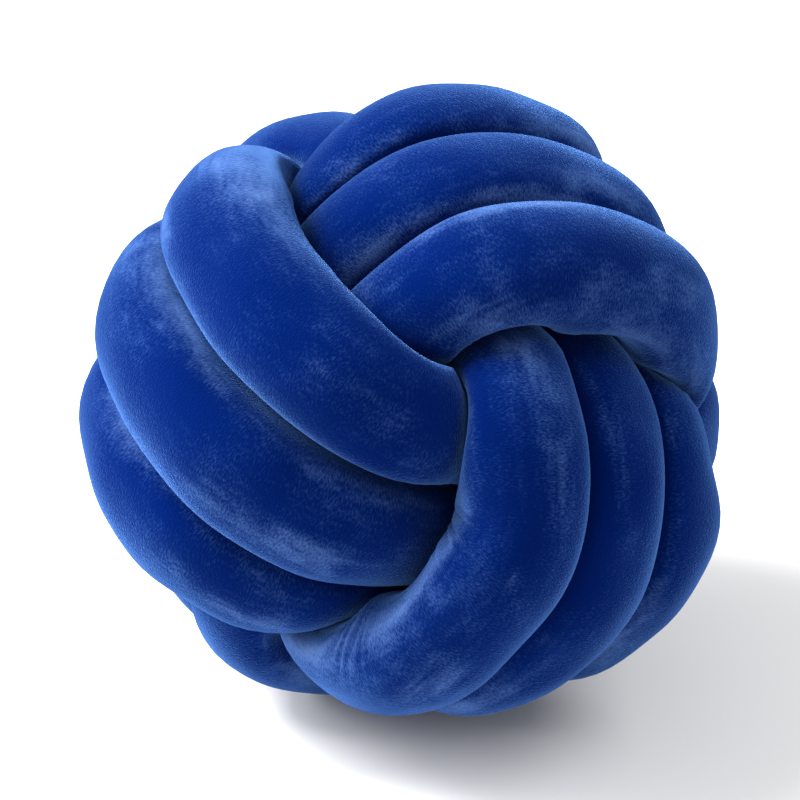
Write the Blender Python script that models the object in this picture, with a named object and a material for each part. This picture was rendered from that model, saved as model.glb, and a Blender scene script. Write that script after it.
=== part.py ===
"""Knot cushion: a ball knotted from one long stuffed tube of velvet.

The tube makes three bands. Each band is three turns that lie side by side round the
ball, and each band is square to the other two. A band's turns show on two opposite
faces of the ball and dive under the next band between them, so the three bands lock
one another. The tube's two ends are sewn together inside the knot, which makes the
whole cushion one closed ring. Metres and degrees, +Z up, with the origin under the
middle of the ball, on the surface that it rests on.
"""
from collections import namedtuple
import math

import bmesh
import bpy
import numpy as np
from mathutils import Euler, Vector

MM = 0.001

# The stuffed tube
FAR_RADIUS = 26.5 * MM       # half the tube's width on the three far faces
TURN_GAP = 3.0 * MM          # clearance between a turn and its neighbours
PRESS_POWER = 12.0           # how squarely the tube flattens where turns press together
DEPTH_RATIO = 0.78           # the tube's depth over its width: tension flattens it
CORE_RATIO = 1.9             # the same towards the ball's centre: turns fill the core

# The knot: distances from the ball's centre, and how the tube runs
FAR_OUT = 120.0 * MM         # to the tube's middle line on a far face
DIVE_OUT = 74.5 * MM         # to the middle line where a turn is hidden
FAR_SPACING = 40.0 * MM      # between the middle lines of two turns on a far face
DIVE_SPACING = 39.0 * MM     # the same where they are hidden
SINK_START = 6.0             # angle from the middle of a face where a turn starts to sink
SINK_END = 93.5              # angle where it is at its hidden depth
LANE_CHANGE = 50.0           # half the angle in which the tube moves over to its next turn
BAND_CHANGE = 45.0           # half the angle in which it moves over to the next band
NEAR_BLEND = 2.0 / 3.0       # how gently the near faces' sizes give way to the far ones
CORE_DIP = 0.2               # how much nearer to the centre it passes there

# How the ball lies: turned about X, then Y, then Z, and where its centre is
LIE = (-23.0, -22.0, -145.5)
CENTRE = (4.0 * MM, 3.5 * MM, 134.0 * MM)

# The turns on the three near faces, in millimetres. side is how far a turn lies from
# the middle of its band, out how far its middle line is from the ball's centre,
# radius half its width, and slant how far it swings sideways along the face.
Turn = namedtuple("Turn", "side out radius slant")
NEAR_TURNS = (
    (Turn(50.5, 129.5, 29.0, 8.5), Turn(-3.5, 126.5, 29.5, -2.0), Turn(-60.0, 124.5, 28.0, -2.0)),
    (Turn(33.0, 128.5, 27.5, -3.0), Turn(-19.0, 121.5, 26.5, -5.0), Turn(-70.5, 123.0, 29.5, 12.0)),
    (Turn(42.5, 124.0, 28.0, -6.5), Turn(-6.5, 115.0, 27.5, -16.0), Turn(-53.0, 121.0, 26.0, 1.5)),
)

# Mesh steps
RINGS_PER_TURN = 54          # cross sections in one turn
SIDES = 12                   # points round a cross section
FINE_PER_RING = 3            # steps of the middle line to one cross section

# Angles
TURN_ANGLE = 360.0
BAND_ANGLE = 3 * TURN_ANGLE
WHOLE_ANGLE = 3 * BAND_ANGLE

TINY = 1e-6                  # keeps a division off zero

VELVET_BLUE = (0.006, 0.045, 0.30, 1.0)


def smooth(share):
    """Ease from 0 to 1 with no corner in the slope or in the curvature."""
    share = np.clip(share, 0.0, 1.0)
    return share ** 3 * (share * (6.0 * share - 15.0) + 10.0)


def mix(low, high, share):
    """Blend two values."""
    return low + (high - low) * share


def change(angle, middle, half_width):
    """Ease from 0 to 1 over the angles within half_width of the middle."""
    return smooth((angle - middle + half_width) / (2.0 * half_width))


def band_line(band, travel):
    """Middle line and radius of one band, `travel` degrees after its start.

    The start is hidden, a quarter turn before the middle of the near face. Seen from
    the ball's centre, the line circles in the plane of its own face's direction and
    the next face's, and keeps its lane beside that plane.
    """
    angle = np.radians(travel - 90.0)
    toward = np.cos(angle)
    along = np.sin(angle)
    near = change(toward, 0.0, NEAR_BLEND)
    lanes_passed = (change(travel, TURN_ANGLE, LANE_CHANGE)
                    + change(travel, 2 * TURN_ANGLE, LANE_CHANGE))
    lane = 1.0 - lanes_passed
    columns = np.array(NEAR_TURNS[band]).T * MM
    side, out, radius, slant = [np.interp(lanes_passed, (0, 1, 2), column)
                                for column in columns]
    side = mix(FAR_SPACING * lane, side, near)
    out = mix(FAR_OUT, out, near)
    radius = mix(FAR_RADIUS, radius, near)
    face_angle = np.degrees(np.arcsin(np.clip(np.abs(along), 0.0, 1.0)))
    sunk = smooth((face_angle - SINK_START) / (SINK_END - SINK_START))
    distance = mix(out, DIVE_OUT, sunk)
    across = (side * toward ** 2 + DIVE_SPACING * lane * along ** 2
              + slant * near * along * toward)
    reach = np.sqrt(distance ** 2 - across ** 2)
    line = np.zeros((len(travel), 3))
    line[:, band] = reach * toward
    line[:, (band + 1) % 3] = reach * along
    line[:, (band + 2) % 3] = across
    return line, radius


def knot_line(steps_per_turn):
    """Middle line and radius of the whole tube, once round its closed ring.

    Where one band hands over to the next, the line is blended from the one to the
    other and passes nearer to the ball's centre.
    """
    travel = np.arange(9 * steps_per_turn) * (TURN_ANGLE / steps_per_turn)
    line = np.zeros((len(travel), 3))
    radius = np.zeros(len(travel))
    moving = np.zeros(len(travel))
    for band in range(3):
        own = (travel - BAND_ANGLE * band + BAND_ANGLE) % WHOLE_ANGLE - BAND_ANGLE
        share = change(own, 0.0, BAND_CHANGE) - change(own, BAND_ANGLE, BAND_CHANGE)
        band_points, band_radius = band_line(band, own)
        line += share[:, None] * band_points
        radius += share * band_radius
        moving += 2.0 * share * (1.0 - share)
    return line * (1.0 - CORE_DIP * moving)[:, None], radius


def ring_directions(line, sides):
    """Directions round each cross section, the first pointing away from the ball.

    They are square to the middle line: the slope is the difference of the two
    neighbouring points, and out is what is left of the direction from the ball's
    centre to the point.
    """
    slope = np.roll(line, -1, axis=0) - np.roll(line, 1, axis=0)
    slope /= np.linalg.norm(slope, axis=1)[:, None]
    out = line - CENTRE
    out -= (out * slope).sum(axis=1)[:, None] * slope
    out /= np.linalg.norm(out, axis=1)[:, None]
    beside = np.cross(slope, out)
    turn = np.arange(sides) * (2.0 * math.pi / sides)
    return (np.cos(turn)[None, :, None] * out[:, None, :]
            + np.sin(turn)[None, :, None] * beside[:, None, :])


def pressed_lengths(point, directions, line):
    """How far the tube may swell from a point before it meets the rest of the tube.

    Every other point of the middle line holds it back at the plane half way between
    the two. Along a direction, that plane is at distance squared over twice the step
    towards the other point.
    """
    steps = line - point
    distance_squared = (steps ** 2).sum(axis=1)
    others = distance_squared > TINY ** 2
    toward = directions @ steps[others].T
    pull = (toward / distance_squared[others]).max(axis=1)
    return 0.5 / np.maximum(pull, TINY) - 0.5 * TURN_GAP


def tube_sections(line, radius, sides, step):
    """Cross sections of the tube, pressed by its other turns and by the floor.

    A free section is half an ellipse on each side: flattened away from the ball, and
    drawn out towards its centre. The soft minimum of that and the pressed length rounds
    the edges of each pressed side. The floor, at height 0, cuts the lowest turns flat.
    """
    directions = ring_directions(line, sides)
    turn = np.arange(sides) * (2.0 * math.pi / sides)
    depth = np.where(np.cos(turn) > 0.0, DEPTH_RATIO, CORE_RATIO)
    ellipse = 1.0 / np.hypot(np.cos(turn) / depth, np.sin(turn))
    sections = []
    for index in range(0, len(line), step):
        point = line[index]
        around = directions[index]
        pressed = pressed_lengths(point, around, line)
        free = radius[index] * ellipse
        length = (pressed ** -PRESS_POWER + free ** -PRESS_POWER) ** (-1.0 / PRESS_POWER)
        downward = np.maximum(-around[:, 2], TINY)
        length = np.minimum(length, point[2] / downward)
        sections.append(point + length[:, None] * around)
    return sections


def skin(name, sections, middles, material):
    """Skin closed cross sections into one closed ring of tube.

    Each four-cornered patch is folded along the diagonal that lies nearer the middle
    line, so that no flat triangle bulges towards the neighbouring turn.
    """
    mesh = bmesh.new()
    rings = [[mesh.verts.new(point) for point in section] for section in sections]
    for ring, following, middle in zip(rings, rings[1:] + rings[:1], middles):
        for here in range(len(ring)):
            there = (here + 1) % len(ring)
            patch = [ring[here], ring[there], following[there], following[here]]
            first, second = [((patch[corner].co + patch[corner + 2].co) / 2 - middle).length
                             for corner in (0, 1)]
            if second < first:
                patch = patch[1:] + patch[:1]
            mesh.faces.new(patch[:3])
            mesh.faces.new((patch[0], patch[2], patch[3]))
    bmesh.ops.recalc_face_normals(mesh, faces=mesh.faces)
    data = bpy.data.meshes.new(name)
    mesh.to_mesh(data)
    mesh.free()
    data.materials.append(material)
    data.shade_smooth()
    tube = bpy.data.objects.new(name, data)
    bpy.context.scene.collection.objects.link(tube)
    return tube


def velvet():
    """Matt blue velvet."""
    material = bpy.data.materials.new("blue_velvet")
    material.use_nodes = True
    shader = material.node_tree.nodes["Principled BSDF"]
    shader.inputs["Base Color"].default_value = VELVET_BLUE
    shader.inputs["Roughness"].default_value = 0.85
    shader.inputs["Metallic"].default_value = 0.0
    return material


def knot_cushion():
    """Lay the ball down as it rests and skin its tube."""
    line, radius = knot_line(RINGS_PER_TURN * FINE_PER_RING)
    lie = np.array(Euler([math.radians(angle) for angle in LIE], "XYZ").to_matrix())
    line = line @ lie.T + CENTRE
    sections = tube_sections(line, radius, SIDES, FINE_PER_RING)
    middles = [Vector(point) for point in line[::FINE_PER_RING]]
    return skin("knotted_tube", sections, middles, velvet())


def main():
    for old in list(bpy.data.objects):
        bpy.data.objects.remove(old, do_unlink=True)
    knot_cushion()


main()
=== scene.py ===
"""Knot cushion in blue velvet: the looks of one stuffed tube knotted into a ball.

The whole cushion is one closed ring of tube, worked out as a surface of two
parameters: how far along the tube, and where round its cross section.
"""
import math
from collections import namedtuple

import bpy
import numpy as np
from bpy.props import FloatProperty, FloatVectorProperty, IntProperty, PointerProperty
from mathutils import Euler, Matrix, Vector


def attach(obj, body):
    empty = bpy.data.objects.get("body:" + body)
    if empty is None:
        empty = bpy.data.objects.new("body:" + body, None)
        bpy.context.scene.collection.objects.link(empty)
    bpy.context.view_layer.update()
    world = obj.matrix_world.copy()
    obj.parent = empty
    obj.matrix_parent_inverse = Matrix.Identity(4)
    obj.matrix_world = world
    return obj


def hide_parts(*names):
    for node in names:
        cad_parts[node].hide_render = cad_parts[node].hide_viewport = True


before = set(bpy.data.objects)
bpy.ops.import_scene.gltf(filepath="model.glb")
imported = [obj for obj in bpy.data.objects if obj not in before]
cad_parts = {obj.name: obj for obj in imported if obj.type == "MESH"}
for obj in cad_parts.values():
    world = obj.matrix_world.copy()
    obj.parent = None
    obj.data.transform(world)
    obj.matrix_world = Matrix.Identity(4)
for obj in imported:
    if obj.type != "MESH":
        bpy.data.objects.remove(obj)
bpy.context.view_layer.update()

bl_info = {
    "name": "Knot cushion",
    "version": (1, 0, 0),
    "blender": (4, 5, 0),
    "location": "3D View > Sidebar > Knot cushion",
    "description": "Makes a ball-shaped knot cushion of stuffed velvet tube and its stage",
    "category": "Add Mesh",
}

TUBE_NODE = "knotted_tube"
MM = 0.001

# The turns on the three near faces, in millimetres. side is how far a turn lies from
# the middle of its band, out how far its middle line is from the ball's centre,
# radius half its width, and slant how far it swings sideways along the face.
Turn = namedtuple("Turn", "side out radius slant")
NEAR_TURNS = (
    (Turn(50.5, 129.5, 29.0, 8.5), Turn(-3.5, 126.5, 29.5, -2.0), Turn(-60.0, 124.5, 28.0, -2.0)),
    (Turn(33.0, 128.5, 27.5, -3.0), Turn(-19.0, 121.5, 26.5, -5.0), Turn(-70.5, 123.0, 29.5, 12.0)),
    (Turn(42.5, 124.0, 28.0, -6.5), Turn(-6.5, 115.0, 27.5, -16.0), Turn(-53.0, 121.0, 26.0, 1.5)),
)
TURN_ANGLE = 360.0
BAND_ANGLE = 3 * TURN_ANGLE
WHOLE_ANGLE = 3 * BAND_ANGLE
NEAR_BLEND = 2.0 / 3.0       # how gently the near faces' sizes give way to the far ones

# Where the filling bunches or thins out. travel is the angle along the knot, length how
# far the swelling reaches along it, size how much it adds to the tube's radius, and
# shift how far it pushes the middle line over sideways, both in millimetres.
Swelling = namedtuple("Swelling", "travel length size shift")
SWELLINGS = (
    Swelling(45, 10, -2.0, -2.5), Swelling(68, 12, 0.5, 3.0), Swelling(148, 9, -2.0, 2.5),
    Swelling(440, 20, 0.7, -0.2), Swelling(500, 16, 1.5, 0.0), Swelling(812, 20, 0.8, 1.5),
    Swelling(864, 12, 2.0, 0.0), Swelling(1120, 8, -3.0, -1.0), Swelling(1150, 10, 1.8, -0.8),
    Swelling(1163, 9, -2.0, 1.5), Swelling(1178, 9, 1.5, -1.5), Swelling(1187, 9, -1.5, -2.5),
    Swelling(1198, 9, -0.7, 0.8), Swelling(1207, 9, 1.7, 2.0), Swelling(1506, 12, 2.6, -0.2),
    Swelling(1532, 13, 1.2, -2.8), Swelling(1558, 12, -0.6, 0.7), Swelling(1878, 10, -0.7, 0.7),
    Swelling(1898, 12, 1.0, -1.0), Swelling(1919, 9, -0.7, 0.7), Swelling(1938, 10, -2.0, 0.0),
    Swelling(2225, 12, 1.5, 0.0), Swelling(2405, 15, 1.5, 0.0), Swelling(2590, 14, 1.0, 0.0),
    Swelling(2970, 25, 1.0, 0.0), Swelling(3015, 12, -3.0, 0.0),
)

# Where the cover gathers on the inside of a tight bend. travel, around, length and width
# are as for the marks below, pitch is from one gather to the next along the knot, fan
# how far they lean over, and depth how deep they are, in millimetres.
Gather = namedtuple("Gather", "travel around length width pitch fan depth")
GATHERS = (
    Gather(1184, -102, 9, 26, 4.4, 0.02, 1.8), Gather(1145, -85, 8, 34, 3.2, 0.11, 0.9),
    Gather(140, 95, 8, 30, 2.6, 0.02, 0.5), Gather(2285, -100, 10, 30, 2.8, 0.02, 0.5),
)

GATHER_REACH = 1.5           # how far from its middle the rings stand close, in its lengths
GATHER_SWAY = 0.2            # how uneven the pitch is, in pitches
SWAY_RATE = 0.8              # how fast that comes and goes, in radians to a degree of travel

# The filling's unevenness is a sum of waves: the seed that draws them, how many there are,
# how often each goes up and down along the ring, from the first number to below the
# second, and how often at most round the tube.
LUMP_SEED = 7
LUMP_WAVES = 40
LUMPS_ALONG = (30, 170)
LUMPS_AROUND = 3

TRAVEL_STEP = 0.25           # fine steps of travel, in degrees, that the rings are spread on
RINGS_AT_ONCE = 72           # rings worked out together, to keep the arrays small
LEAST_LENGTH = 1.0 * MM      # the least that a neighbour leaves, from the middle line
LEAST_PULL = 1.0             # a turn further off than half a metre doesn't press
SAME_POINT = 1e-9            # square metres between two points that count as one
TINY = 1e-12                 # keeps a division off zero

# Marks where the blue is lighter or darker: partly where hands have stroked the pile up or down,
# partly painted light and painted shade.
# travel is the angle along the knot, around the angle round the tube from facing out,
# length and width how far the mark reaches in each, and lift how much lighter it makes the blue.
Mark = namedtuple("Mark", "travel around length width lift")
PILE_AND_LIGHT_MARKS = (
    Mark(47, -105, 9, 25, 0.80), Mark(70, -35, 12, 35, 0.40), Mark(74, 43, 9, 12, 0.30),
    Mark(75, -92, 8, 9, -0.50), Mark(83, -66, 14, 14, 0.30), Mark(91, 22, 9, 30, -0.22),
    Mark(100, -90, 20, 15, -0.45), Mark(124, 54, 18, 20, -0.28), Mark(138, -20, 8, 15, -0.20),
    Mark(242, -44, 10, 30, -1.20), Mark(430, -25, 14, 30, 0.30), Mark(430, -70, 16, 16, 0.30),
    Mark(452, -76, 9, 10, 0.45), Mark(462, -42, 8, 18, -0.40), Mark(480, 26, 14, 14, 0.35),
    Mark(490, 8, 8, 12, 0.45), Mark(806, -80, 8, 10, 0.35), Mark(826, -57, 12, 18, -0.30),
    Mark(844, -2, 9, 18, 0.50), Mark(1129, -72, 9, 26, 0.90), Mark(1155, 30, 8, 12, 0.20),
    Mark(1159, -3, 9, 26, 0.35), Mark(1183, -85, 14, 25, -0.50), Mark(1195, 58, 20, 12, -0.55),
    Mark(1197, 22, 14, 22, 0.33), Mark(1211, -52, 7, 12, -0.30), Mark(1219, 0, 7, 24, 0.42),
    Mark(1316, -45, 8, 20, -0.40), Mark(1508, -40, 12, 14, 0.45), Mark(1553, -67, 16, 18, -0.90),
    Mark(1883, -60, 12, 25, 0.35), Mark(1906, -22, 12, 18, -0.75), Mark(2213, -63, 9, 14, 0.45),
    Mark(2238, -23, 14, 16, 0.28), Mark(2252, -44, 7, 20, 0.33), Mark(2260, -94, 10, 12, -0.50),
    Mark(2264, 60, 13, 14, 0.50), Mark(2284, -45, 8, 15, 0.20), Mark(2402, -30, 8, 45, -0.40),
    Mark(2605, -32, 20, 15, 0.30), Mark(2622, -62, 13, 11, 0.40), Mark(2652, -64, 10, 11, 0.40),
    Mark(2957, -55, 12, 13, 0.40), Mark(3000, 10, 12, 20, -0.60),
)

# The soft studio lights: square panels that face the ball. spot and size are in metres,
# and power is in watts.
Lamp = namedtuple("Lamp", "name spot size power")
LAMPS = (
    Lamp("key_light", (-1.2, 0.0, 1.6), 0.9, 86.0),
    Lamp("side_light", (-1.8, 0.1, 0.8), 0.9, 38.0),
    Lamp("fill_light", (1.2, 0.0, 1.6), 1.2, 21.0),
)


# ---------------------------------------------------------------- sizes and colours

class KnotSizes(bpy.types.PropertyGroup):
    """Sizes of the tube and of the knot that it makes."""
    far_radius: FloatProperty(
        name="Far radius", description="Half the tube's width on the far faces",
        default=26.5 * MM, unit="LENGTH")
    depth_ratio: FloatProperty(
        name="Depth ratio", description="The tube's depth over its width",
        default=0.78, min=0.4, max=1.0)
    core_ratio: FloatProperty(
        name="Core ratio", description="The depth over the width on the side of the centre",
        default=1.9, min=0.4, max=3.0)
    far_out: FloatProperty(
        name="Far distance", description="From the centre to a turn on a far face",
        default=120.0 * MM, unit="LENGTH")
    dive_out: FloatProperty(
        name="Hidden distance", description="From the centre to a turn where it is hidden",
        default=74.5 * MM, unit="LENGTH")
    far_spacing: FloatProperty(
        name="Far spacing", description="Between two turns on a far face",
        default=40.0 * MM, unit="LENGTH")
    dive_spacing: FloatProperty(
        name="Hidden spacing", description="Between two turns where they are hidden",
        default=39.0 * MM, unit="LENGTH")
    sink_start: FloatProperty(
        name="Sink start", description="Angle from a face's middle where a turn sinks",
        default=math.radians(6.0), subtype="ANGLE")
    sink_end: FloatProperty(
        name="Sink end", description="Angle where a turn is at its hidden depth",
        default=math.radians(93.5), subtype="ANGLE")
    lane_change: FloatProperty(
        name="Lane change", description="Half the angle in which it moves to its next turn",
        default=math.radians(50.0), subtype="ANGLE")
    band_change: FloatProperty(
        name="Band change", description="Half the angle in which it moves to the next band",
        default=math.radians(45.0), subtype="ANGLE")
    core_dip: FloatProperty(
        name="Core dip", description="How much nearer to the centre it passes there",
        default=0.2, min=0.0, max=0.5)
    lie: FloatVectorProperty(
        name="Lie", description="How the ball is turned about X, then Y, then Z",
        default=[math.radians(angle) for angle in (-23.0, -22.0, -145.5)],
        subtype="EULER", size=3)
    centre: FloatVectorProperty(
        name="Centre", description="Where the ball's centre is",
        default=(4.0 * MM, 3.5 * MM, 134.0 * MM), subtype="TRANSLATION", size=3)
    turn_gap: FloatProperty(
        name="Gap", description="Clearance between a turn and its neighbours",
        default=1.0 * MM, unit="LENGTH")
    press_power: FloatProperty(
        name="Press", description="How squarely the tube flattens against its neighbours",
        default=10.0, min=4.0, max=30.0)
    rings_per_turn: IntProperty(
        name="Rings", description="Cross sections in one turn", default=144, min=36)
    sides: IntProperty(
        name="Sides", description="Points round a cross section", default=68, min=12)
    gather_rings: FloatProperty(
        name="Gather rings", description="How much closer the rings stand across gathers",
        default=4.0, min=0.0, max=12.0)
    lump_height: FloatProperty(
        name="Lumps", description="Unevenness of the filling",
        default=0.7 * MM, unit="LENGTH")


class VelvetLooks(bpy.types.PropertyGroup):
    """Colours and pile of the velvet."""
    deep: FloatVectorProperty(
        name="Deep", description="Colour looking down into the pile",
        default=(0.0001, 0.0068, 0.076), subtype="COLOR", size=3)
    # Brushed and pale are reached partly by the pile's own patches and partly by painted sheen on
    # the flanks and the lighter marks.
    brushed: FloatVectorProperty(
        name="Brushed", description="Colour where the pile is brushed over",
        default=(0.018, 0.056, 0.21), subtype="COLOR", size=3)
    pale: FloatVectorProperty(
        name="Pale", description="Colour where the pile lies flat and shows its sides",
        default=(0.088, 0.158, 0.36), subtype="COLOR", size=3)
    sheen: FloatVectorProperty(
        name="Sheen", description="Colour of the light caught by the tips of the pile",
        default=(0.15, 0.36, 0.92), subtype="COLOR", size=3)
    rib_pitch: FloatProperty(
        name="Rib pitch", description="From one row of the ground weave to the next",
        default=1.0 * MM, unit="LENGTH")


class StageLooks(bpy.types.PropertyGroup):
    """Camera, floor and lights."""
    distance: FloatProperty(
        name="Distance", description="From the camera to the ball's centre",
        default=1.293, unit="LENGTH")
    elevation: FloatProperty(
        name="Elevation", description="How steeply the camera looks down",
        default=math.radians(26.0), subtype="ANGLE")
    lens: FloatProperty(
        name="Lens", description="Focal length on a 36 mm sensor, in millimetres",
        default=133.3)
    aside: FloatVectorProperty(
        name="Aside", description="How far the ball is right of and above the middle",
        default=(5.5 * MM, -1.0 * MM), size=2, unit="LENGTH")
    floor_colour: FloatVectorProperty(
        name="Floor", description="Colour of the floor",
        default=(0.85, 0.85, 0.85), subtype="COLOR", size=3)
    floor_half: FloatProperty(
        name="Floor size", description="Half the floor's width",
        default=6.0, unit="LENGTH")
    room_light: FloatProperty(
        name="Room light", description="Strength of the even light from all round",
        default=0.56, min=0.0)


# ------------------------------------------------------------------ the tube's shape

def smooth(share):
    """Ease from 0 to 1: six of the fifth power less fifteen of the fourth plus ten cubes."""
    share = np.clip(share, 0.0, 1.0)
    return share ** 3 * (share * (6.0 * share - 15.0) + 10.0)


def mix(low, high, share):
    """The low value plus the share of the step to the high one."""
    return low + (high - low) * share


def change(angle, middle, half_width):
    """Ease from 0 to 1 over the angles within half_width of the middle."""
    return smooth((angle - middle + half_width) / (2.0 * half_width))


def angle_from(middle, angle, whole=WHOLE_ANGLE):
    """The step from the middle to the angle, the shorter way round the whole circle."""
    return (angle - middle + whole / 2.0) % whole - whole / 2.0


def band_line(sizes, band, travel):
    """Middle line and radius of one band, travel degrees after its hidden start.

    Along the band's circle the line is reach times the cosine towards its near face,
    reach times the sine towards the next face, and its lane's step across. Reach is
    what the step across leaves of the distance from the centre, which falls from the
    face's to the hidden one.
    """
    angle = np.radians(travel - TURN_ANGLE / 4.0)
    toward = np.cos(angle)
    along = np.sin(angle)
    near = change(toward, 0.0, NEAR_BLEND)
    lane_change = math.degrees(sizes.lane_change)
    lanes_passed = (change(travel, TURN_ANGLE, lane_change)
                    + change(travel, 2 * TURN_ANGLE, lane_change))
    lane = 1.0 - lanes_passed
    columns = np.array(NEAR_TURNS[band]).T * MM
    side, out, radius, slant = [np.interp(lanes_passed, (0, 1, 2), column)
                                for column in columns]
    side = mix(sizes.far_spacing * lane, side, near)
    out = mix(sizes.far_out, out, near)
    radius = mix(sizes.far_radius, radius, near)
    face_angle = np.arcsin(np.clip(np.abs(along), 0.0, 1.0))
    sunk = smooth((face_angle - sizes.sink_start) / (sizes.sink_end - sizes.sink_start))
    distance = mix(out, sizes.dive_out, sunk)
    across = (side * toward ** 2 + sizes.dive_spacing * lane * along ** 2
              + slant * near * along * toward)
    reach = np.sqrt(distance ** 2 - across ** 2)
    line = np.zeros((len(travel), 3))
    line[:, band] = reach * toward
    line[:, (band + 1) % 3] = reach * along
    line[:, (band + 2) % 3] = across
    return line, radius


def ring_travel(sizes):
    """Travel of every ring: evenly spread, but closer together across the gathers.

    The crowding is one plus a flat-topped bell curve for each gather, e to the minus
    fourth power. Rings stand where its running sum passes equal steps.
    """
    fine = np.arange(0.0, WHOLE_ANGLE, TRAVEL_STEP)
    crowding = np.ones(len(fine))
    for gather in GATHERS:
        along = angle_from(gather.travel, fine) / (GATHER_REACH * gather.length)
        crowding += sizes.gather_rings * np.exp(-along ** 4)
    passed = np.concatenate([[0.0], np.cumsum(crowding)])
    turns = WHOLE_ANGLE / TURN_ANGLE
    rings = int(round(passed[-1] / len(fine) * turns * sizes.rings_per_turn))
    steps = np.arange(rings) * (passed[-1] / rings)
    return np.interp(steps, passed, np.append(fine, WHOLE_ANGLE))


def swellings(travel):
    """How much the tube is swollen and shifted: sums of bell curves of the travel."""
    size = np.zeros(len(travel))
    shift = np.zeros(len(travel))
    for swelling in SWELLINGS:
        bell = MM * np.exp(-(angle_from(swelling.travel, travel) / swelling.length) ** 2)
        size += swelling.size * bell
        shift += swelling.shift * bell
    return size, shift


def knot_line(sizes, travel):
    """Middle line, radius and swelling of the whole tube, once round its closed ring.

    Each band's line is weighted by its share of the travel, which eases over to the
    next band's, and the sum passes nearer to the centre where two bands share it.
    """
    line = np.zeros((len(travel), 3))
    radius = np.zeros(len(travel))
    moving = np.zeros(len(travel))
    swell, shift = swellings(travel)
    band_change = math.degrees(sizes.band_change)
    for band in range(3):
        own = (travel - BAND_ANGLE * band + BAND_ANGLE) % WHOLE_ANGLE - BAND_ANGLE
        share = change(own, 0.0, band_change) - change(own, BAND_ANGLE, band_change)
        band_points, band_radius = band_line(sizes, band, own)
        band_points[:, (band + 2) % 3] += shift
        line += share[:, None] * band_points
        radius += share * band_radius
        moving += 2.0 * share * (1.0 - share)
    line *= (1.0 - sizes.core_dip * moving)[:, None]
    lie = np.array(Euler(sizes.lie, "XYZ").to_matrix())
    return line @ lie.T + np.array(sizes.centre), radius + swell, swell


def ring_frame(line, centre):
    """The two directions square to the line at each point: out from the ball, and beside.

    The slope is the difference of the two neighbouring points. Out is the direction
    from the centre less its part along the slope, and beside is their cross product.
    """
    slope = np.roll(line, -1, axis=0) - np.roll(line, 1, axis=0)
    slope /= np.linalg.norm(slope, axis=1)[:, None]
    out = line - centre
    out -= (out * slope).sum(axis=1)[:, None] * slope
    out /= np.linalg.norm(out, axis=1)[:, None]
    return out, np.cross(slope, out)


def pressed_lengths(line, swell, around, gap):
    """How far each direction of each ring reaches before it meets the rest of the tube.

    Another point of the line holds it back at the plane half way to it: the distance
    squared over twice the step towards that point, the least over all points. The more
    swollen of the two pushes the plane away by half the difference.
    """
    rings, sides = around.shape[:2]
    lengths = np.zeros((rings, sides))
    for first in range(0, rings, RINGS_AT_ONCE):
        block = slice(first, first + RINGS_AT_ONCE)
        steps = line[None, :, :] - line[block, None, :]
        squared = (steps ** 2).sum(axis=2)
        push = np.sqrt(squared) * (swell[block, None] - swell[None, :])
        toward = np.matmul(around[block], steps.transpose(0, 2, 1))
        room = np.where(squared < SAME_POINT, np.inf, squared + push)
        pull = (toward / room[:, None, :]).max(axis=2)
        lengths[block] = 0.5 / np.maximum(pull, LEAST_PULL)
    return lengths - 0.5 * gap


def gathers(travel, around):
    """Height of the gathers at each point: 0 on their ridges, less than 0 between them.

    Each gather's valleys are one less the size of a sine of the travel over its pitch,
    leant over by the angle round the tube, under a bell curve along and round it. A
    slower sine of the travel makes the pitch uneven.
    """
    height = np.zeros((len(travel), len(around)))
    for gather in GATHERS:
        along = angle_from(gather.travel, travel)[:, None]
        beside = angle_from(gather.around, around, TURN_ANGLE)[None, :]
        bell = np.exp(-(along / gather.length) ** 2) * np.exp(-(beside / gather.width) ** 2)
        sway = GATHER_SWAY * gather.pitch * np.sin(SWAY_RATE * along + 1.0)
        wave = along + gather.fan * beside + sway
        ridge = np.abs(np.sin(math.pi * wave / gather.pitch))
        height -= gather.depth * MM * bell * (1.0 - ridge)
    return height


def lumps(travel, sides):
    """Unevenness that closes along and round the tube, mostly from -1 to 1.

    A sum of cosines of whole numbers of waves along the ring and round the section,
    each with its own phase, over the root of their number.
    """
    chance = np.random.default_rng(LUMP_SEED)
    along = travel[:, None] * (2.0 * math.pi / WHOLE_ANGLE)
    around = np.arange(sides)[None, :] * (2.0 * math.pi / sides)
    height = np.zeros((len(travel), sides))
    for _ in range(LUMP_WAVES):
        count = chance.integers(*LUMPS_ALONG)
        across = chance.integers(-LUMPS_AROUND, LUMPS_AROUND + 1)
        phase = chance.uniform(0.0, 2.0 * math.pi)
        height += np.cos(count * along + across * around + phase)
    return height / math.sqrt(LUMP_WAVES)


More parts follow.
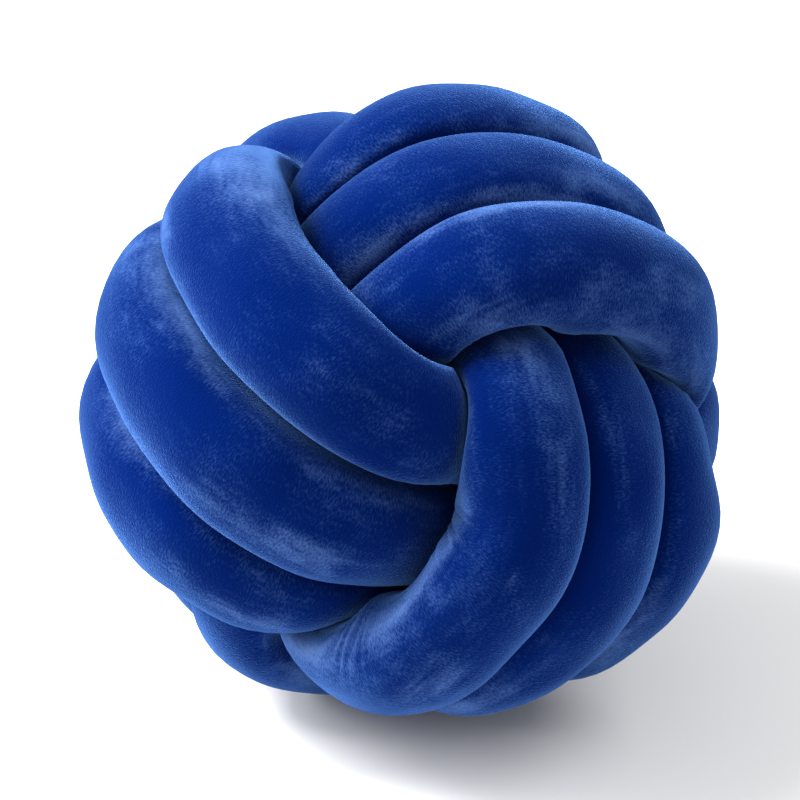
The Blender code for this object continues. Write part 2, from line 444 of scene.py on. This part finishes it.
def tube_surface(sizes):
    """Points of the tube, the pressed share of each, and the rings' travel and lengths.

    A point is the middle line plus its length along its direction. The length is the
    soft minimum of the free ellipse and the pressed length: both raised to a minus
    power, added up, and brought back by the root. The pressed share is the pressed
    length's part of that sum. The gathers are taken off, and the floor at height 0
    cuts what is left. The first point of a ring faces the ball's centre.
    """
    travel = ring_travel(sizes)
    line, radius, swell = knot_line(sizes, travel)
    centre = np.array(sizes.centre)
    out, beside = ring_frame(line, centre)
    turn = math.pi + np.arange(sizes.sides) * (2.0 * math.pi / sizes.sides)
    around = (np.cos(turn)[None, :, None] * out[:, None, :]
              + np.sin(turn)[None, :, None] * beside[:, None, :])
    depth = np.where(np.cos(turn) > 0.0, sizes.depth_ratio, sizes.core_ratio)
    ellipse = 1.0 / np.hypot(np.cos(turn) / depth, np.sin(turn))
    free = radius[:, None] * ellipse[None, :]
    free = free + sizes.lump_height * lumps(travel, sizes.sides)
    pressed = pressed_lengths(line, swell, around, sizes.turn_gap)
    pressed = np.maximum(pressed, LEAST_LENGTH)
    power = sizes.press_power
    length = (pressed ** -power + free ** -power) ** (-1.0 / power)
    pressed_share = (length / pressed) ** power
    length += gathers(travel, np.degrees(turn))
    downward = np.maximum(-around[:, :, 2], TINY)
    length = np.minimum(length, line[:, None, 2] / downward)
    points = line[:, None, :] + length[:, :, None] * around
    step = np.linalg.norm(np.roll(line, -1, axis=0) - line, axis=1)
    travelled = np.concatenate([[0.0], np.cumsum(step)])
    return points, pressed_share, travel, travelled


def flanks(points, centre):
    """How far the surface has turned away from facing out of the ball: 0 to 1.

    One less the size of the cosine between the surface's normal and the direction from
    the ball's centre. The normal is the cross product of the differences round and
    along the tube.
    """
    along = np.roll(points, -1, axis=0) - np.roll(points, 1, axis=0)
    around = np.roll(points, -1, axis=1) - np.roll(points, 1, axis=1)
    normal = np.cross(around, along)
    normal /= np.linalg.norm(normal, axis=2)[:, :, None] + TINY
    outward = points - centre
    outward /= np.linalg.norm(outward, axis=2)[:, :, None]
    return np.clip(1.0 - np.abs((normal * outward).sum(axis=2)), 0.0, 1.0)


def pile_and_light_lift(travel, sides):
    """How much lighter or darker the marks make each point of the tube: stroked pile, painted light
    and painted shade.

    The sum over the marks of each one's lift times e to the minus square of the way
    from its middle, along and round the tube, over its length and its width.
    """
    around = TURN_ANGLE / 2.0 + np.arange(sides) * (TURN_ANGLE / sides)
    lift = np.zeros((len(travel), sides))
    for mark in PILE_AND_LIGHT_MARKS:
        along = angle_from(mark.travel, travel)[:, None] / mark.length
        beside = angle_from(mark.around, around, TURN_ANGLE)[None, :] / mark.width
        lift += mark.lift * np.exp(-along ** 2 - beside ** 2)
    return lift


def ring_mesh(name, points, travelled, girth):
    """A closed ring of tube as a mesh of quads, with a map of real lengths.

    Quad (i, j) joins points i, j and i + 1, j + 1, both counted round. Its map is the
    length travelled along the tube and the share of the girth round it.
    """
    rings, sides = points.shape[:2]
    index = np.arange(rings * sides).reshape(rings, sides)
    across = np.roll(index, -1, axis=1)
    ahead = np.roll(index, -1, axis=0)
    quads = np.stack([index, across, np.roll(across, -1, axis=0), ahead], axis=-1)
    mesh = bpy.data.meshes.new(name)
    mesh.from_pydata(points.reshape(-1, 3).tolist(), [], quads.reshape(-1, 4).tolist())
    along = np.broadcast_to(travelled[:-1, None], (rings, sides))
    along_next = np.broadcast_to(travelled[1:, None], (rings, sides))
    round_it = np.broadcast_to(np.arange(sides)[None, :] * (girth / sides), (rings, sides))
    round_next = round_it + girth / sides
    corners = np.stack([
        np.stack([along, round_it], -1), np.stack([along, round_next], -1),
        np.stack([along_next, round_next], -1), np.stack([along_next, round_it], -1),
    ], axis=2)
    layer = mesh.uv_layers.new(name="tube_lengths")
    layer.uv.foreach_set("vector", corners.astype(np.float32).ravel())
    mesh.shade_smooth()
    return mesh


# ------------------------------------------------------------------------ materials

def new_material(name):
    """A node material that holds only a Principled shader and its output."""
    material = bpy.data.materials.new(name)
    material.use_nodes = True
    tree = material.node_tree
    tree.nodes.clear()
    output = tree.nodes.new("ShaderNodeOutputMaterial")
    shader = tree.nodes.new("ShaderNodeBsdfPrincipled")
    tree.links.new(shader.outputs["BSDF"], output.inputs["Surface"])
    return material, tree, shader


def noise(tree, vector, scale, detail=0.0, roughness=0.5, distortion=0.0):
    """A noise texture's value."""
    node = tree.nodes.new("ShaderNodeTexNoise")
    node.inputs["Scale"].default_value = scale
    node.inputs["Detail"].default_value = detail
    node.inputs["Roughness"].default_value = roughness
    node.inputs["Distortion"].default_value = distortion
    tree.links.new(vector, node.inputs["Vector"])
    return node.outputs["Fac"]


def ramp(tree, value, low, high, to_low=0.0, to_high=1.0):
    """A value's range carried smoothly onto another."""
    node = tree.nodes.new("ShaderNodeMapRange")
    node.interpolation_type = "SMOOTHSTEP"
    for socket, number in (("From Min", low), ("From Max", high),
                           ("To Min", to_low), ("To Max", to_high)):
        node.inputs[socket].default_value = number
    tree.links.new(value, node.inputs["Value"])
    return node.outputs["Result"]


def math_node(tree, operation, first, second):
    """One sum, product or other operation of two values."""
    node = tree.nodes.new("ShaderNodeMath")
    node.operation = operation
    for socket, value in zip(node.inputs, (first, second)):
        if isinstance(value, (int, float)):
            socket.default_value = value
        else:
            tree.links.new(value, socket)
    return node.outputs["Value"]


def colour_mix(tree, share, first, second):
    """Two colours mixed by a share. A Mix node's colour sockets are found by number."""
    node = tree.nodes.new("ShaderNodeMix")
    node.data_type = "RGBA"
    tree.links.new(share, node.inputs["Factor"])
    first_socket, second_socket, result = node.inputs[6], node.inputs[7], node.outputs[2]
    for socket, value in ((first_socket, first), (second_socket, second)):
        if isinstance(value, bpy.types.NodeSocket):
            tree.links.new(value, socket)
        else:
            socket.default_value = (*value, 1.0)
    return result


def stretched(tree, vector, scale):
    """Coordinates multiplied by a scale of their own on each axis."""
    node = tree.nodes.new("ShaderNodeVectorMath")
    node.operation = "MULTIPLY"
    tree.links.new(vector, node.inputs[0])
    node.inputs[1].default_value = scale
    return node.outputs["Vector"]


def attribute(tree, name):
    """A number that the mesh holds at each point."""
    node = tree.nodes.new("ShaderNodeAttribute")
    node.attribute_name = name
    return node.outputs["Fac"]


def weighted_sum(tree, parts):
    """The sum of values, each times its weight and shifted to be about 0."""
    total = None
    for value, weight, middle in parts:
        node = tree.nodes.new("ShaderNodeMath")
        node.operation = "MULTIPLY_ADD"
        tree.links.new(value, node.inputs[0])
        node.inputs[1].default_value = weight
        node.inputs[2].default_value = -weight * middle
        part = node.outputs["Value"]
        total = part if total is None else math_node(tree, "ADD", total, part)
    return total


def velvet_material(looks):
    """Blue velvet: patches, painted sheen on the flanks, painted shade in the creases, and a grain
    of pile tips in broken rows.

    Its lightness is a weighted sum of the flanks (painted sheen), the pressed places (painted shade
    in the creases), the marks (stroked pile and painted light and shade) and three soft noises,
    plus the grain, which is stronger where it is lighter. It carries the colour from deep to
    brushed and, with a quarter of the grain, to pale.
    """
    material, tree, shader = new_material("blue_velvet")
    spot = tree.nodes.new("ShaderNodeTexCoord").outputs["Object"]
    uv_map = tree.nodes.new("ShaderNodeUVMap")
    uv_map.uv_map = "tube_lengths"
    lengths = uv_map.outputs["UV"]
    # flank lightens the colour along the flanks of the turns: painted sheen.
    flank = attribute(tree, "flank")
    # pressed darkens the colour where the turns meet: painted shade in the creases.
    pressed = attribute(tree, "pressed")
    # lift brings the marks: stroked pile, and painted light and painted shade.
    lift = attribute(tree, "lift")

    patches = noise(tree, spot, scale=26.0, detail=1.0, distortion=0.5)
    crushed = noise(tree, spot, scale=70.0, detail=2.0, distortion=0.6)
    strokes = noise(tree, stretched(tree, lengths, (45.0, 160.0, 1.0)),
                    scale=1.0, detail=2.0, roughness=0.6, distortion=0.4)
    rows = noise(tree, stretched(tree, lengths, (1700.0, 500.0, 1.0)),
                 scale=1.0 * MM / looks.rib_pitch)
    tips = noise(tree, spot, scale=2200.0)
    # How light the velvet is: the flanks add painted sheen, the pressed places take off as painted
    # shade in the creases, the marks add painted light and shade besides stroked pile, and the
    # three noises are the pile's own patches.
    soft_nap_and_light = weighted_sum(tree, (
        (flank, 0.7, 0.0), (pressed, -0.35, 0.0), (lift, 1.0, 0.0), (patches, 0.6, 0.5),
        (crushed, 0.45, 0.5), (strokes, 0.4, 0.5)))
    grain_strength = ramp(tree, soft_nap_and_light, low=0.0, high=0.9, to_low=0.8, to_high=1.8)
    grain = math_node(tree, "MULTIPLY", grain_strength,
                      weighted_sum(tree, ((rows, 0.7, 0.5), (tips, 0.5, 0.5))))
    nap_and_light = math_node(tree, "ADD", soft_nap_and_light, grain)
    # Deep to brushed follows the lightness above, so it carries the painted sheen and painted
    # crease shade as well as the pile's own patches.
    brushed = ramp(tree, nap_and_light, low=-0.05, high=0.9)
    colour = colour_mix(tree, brushed, tuple(looks.deep), tuple(looks.brushed))
    # Pale, at the lightest places, is partly the pile's own patches and partly painted sheen on the
    # flanks and the lighter marks.
    pale_share = weighted_sum(tree, ((soft_nap_and_light, 1.0, 0.0), (grain, 0.25, 0.0)))
    colour = colour_mix(tree, ramp(tree, pale_share, low=0.1, high=1.2), colour, tuple(looks.pale))
    tree.links.new(colour, shader.inputs["Base Color"])

    height = weighted_sum(tree, ((rows, 1.0, 0.5), (tips, 1.0, 0.5)))
    bump = tree.nodes.new("ShaderNodeBump")
    bump.inputs["Strength"].default_value = 0.6
    bump.inputs["Distance"].default_value = 0.4 * MM
    tree.links.new(height, bump.inputs["Height"])
    tree.links.new(bump.outputs["Normal"], shader.inputs["Normal"])

    roughness = ramp(tree, nap_and_light, low=0.1, high=0.9, to_low=0.9, to_high=0.75)
    tree.links.new(roughness, shader.inputs["Roughness"])
    shader.inputs["Specular IOR Level"].default_value = 0.0
    shader.inputs["Sheen Weight"].default_value = 0.8
    shader.inputs["Sheen Roughness"].default_value = 0.36
    shader.inputs["Sheen Tint"].default_value = (*looks.sheen, 1.0)
    return material


def floor_material(looks):
    """Plain pale paper, its tone a trace uneven."""
    material, tree, shader = new_material("pale_floor")
    spot = tree.nodes.new("ShaderNodeTexCoord").outputs["Object"]
    tone = ramp(tree, noise(tree, spot, scale=3.0, detail=2.0),
                low=0.3, high=0.7, to_low=0.98, to_high=1.0)
    scaled = colour_mix(tree, tone, (0.0, 0.0, 0.0), tuple(looks.floor_colour))
    tree.links.new(scaled, shader.inputs["Base Color"])
    shader.inputs["Roughness"].default_value = 0.9
    shader.inputs["Specular IOR Level"].default_value = 0.1
    return material


# ------------------------------------------------------------------------ operators

def add_object(name, data):
    """Link new data to the scene as an object at the origin."""
    thing = bpy.data.objects.new(name, data)
    bpy.context.scene.collection.objects.link(thing)
    return thing


class KNOT_OT_tube(bpy.types.Operator):
    """Make the knotted tube of stuffed velvet"""
    bl_idname = "knot.tube"
    bl_label = "Knotted tube"

    def execute(self, context):
        sizes = context.scene.knot_sizes
        points, pressed_share, travel, travelled = tube_surface(sizes)
        flank = flanks(points, np.array(sizes.centre))
        girth = 2.0 * math.pi * sizes.far_radius
        mesh = ring_mesh("velvet_tube", points, travelled, girth)
        # flank holds the painted sheen along the flanks, left off in the creases; pressed holds the
        # painted shade in the creases; lift holds the marks, partly stroked pile and partly painted
        # light and shade.
        for name, values in (("flank", flank * (1.0 - pressed_share)),
                             ("pressed", pressed_share),
                             ("lift", pile_and_light_lift(travel, sizes.sides))):
            layer = mesh.attributes.new(name, "FLOAT", "POINT")
            layer.data.foreach_set("value", values.astype(np.float32).ravel())
        mesh.materials.append(velvet_material(context.scene.velvet_looks))
        tube = add_object("velvet_tube", mesh)
        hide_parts(TUBE_NODE)
        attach(tube, "root")
        return {"FINISHED"}


class KNOT_OT_stage(bpy.types.Operator):
    """Make the floor, the lights and the camera"""
    bl_idname = "knot.stage"
    bl_label = "Stage"

    def execute(self, context):
        looks = context.scene.stage_looks
        centre = Vector(context.scene.knot_sizes.centre)
        half = looks.floor_half
        mesh = bpy.data.meshes.new("floor")
        corners = [(-half, -half, 0.0), (half, -half, 0.0), (half, half, 0.0), (-half, half, 0.0)]
        mesh.from_pydata(corners, [], [(0, 1, 2, 3)])
        mesh.materials.append(floor_material(looks))
        add_object("floor", mesh)

        for lamp in LAMPS:
            panel = bpy.data.lights.new(lamp.name, "AREA")
            panel.size = lamp.size
            panel.energy = lamp.power
            light = add_object(lamp.name, panel)
            light.location = lamp.spot
            aim = centre - Vector(lamp.spot)
            light.rotation_euler = aim.to_track_quat("-Z", "Y").to_euler()

        world = bpy.data.worlds.new("soft_room")
        world.use_nodes = True
        background = world.node_tree.nodes["Background"]
        background.inputs["Color"].default_value = (1.0, 1.0, 1.0, 1.0)
        background.inputs["Strength"].default_value = looks.room_light
        context.scene.world = world

        lens = bpy.data.cameras.new("camera")
        lens.lens = looks.lens
        camera = add_object("camera", lens)
        right = Vector((1.0, 0.0, 0.0))
        back = Vector((0.0, -math.cos(looks.elevation), math.sin(looks.elevation)))
        up = back.cross(right)
        camera.location = (centre + back * looks.distance
                           - right * looks.aside[0] - up * looks.aside[1])
        camera.rotation_euler = (math.pi / 2 - looks.elevation, 0.0, 0.0)
        context.scene.camera = camera
        context.scene.view_settings.view_transform = "Standard"
        return {"FINISHED"}


class KNOT_PT_panel(bpy.types.Panel):
    """Lists the pieces of the knot cushion"""
    bl_idname = "KNOT_PT_panel"
    bl_label = "Knot cushion"
    bl_space_type = "VIEW_3D"
    bl_region_type = "UI"
    bl_category = "Knot cushion"

    def draw(self, context):
        for operator in OPERATORS:
            self.layout.operator(operator.bl_idname)
        for group in (context.scene.knot_sizes, context.scene.velvet_looks,
                      context.scene.stage_looks):
            for name in group.bl_rna.properties.keys():
                if name not in {"rna_type", "name"}:
                    self.layout.prop(group, name)


OPERATORS = (KNOT_OT_tube, KNOT_OT_stage)
CLASSES = (KnotSizes, VelvetLooks, StageLooks, *OPERATORS, KNOT_PT_panel)


def register():
    for cls in CLASSES:
        bpy.utils.register_class(cls)
    bpy.types.Scene.knot_sizes = PointerProperty(type=KnotSizes)
    bpy.types.Scene.velvet_looks = PointerProperty(type=VelvetLooks)
    bpy.types.Scene.stage_looks = PointerProperty(type=StageLooks)


def unregister():
    del bpy.types.Scene.stage_looks
    del bpy.types.Scene.velvet_looks
    del bpy.types.Scene.knot_sizes
    for cls in reversed(CLASSES):
        bpy.utils.unregister_class(cls)


def main():
    """Make every piece and the stage."""
    register()
    bpy.ops.knot.tube()
    bpy.ops.knot.stage()


if __name__ == "__main__":
    main()
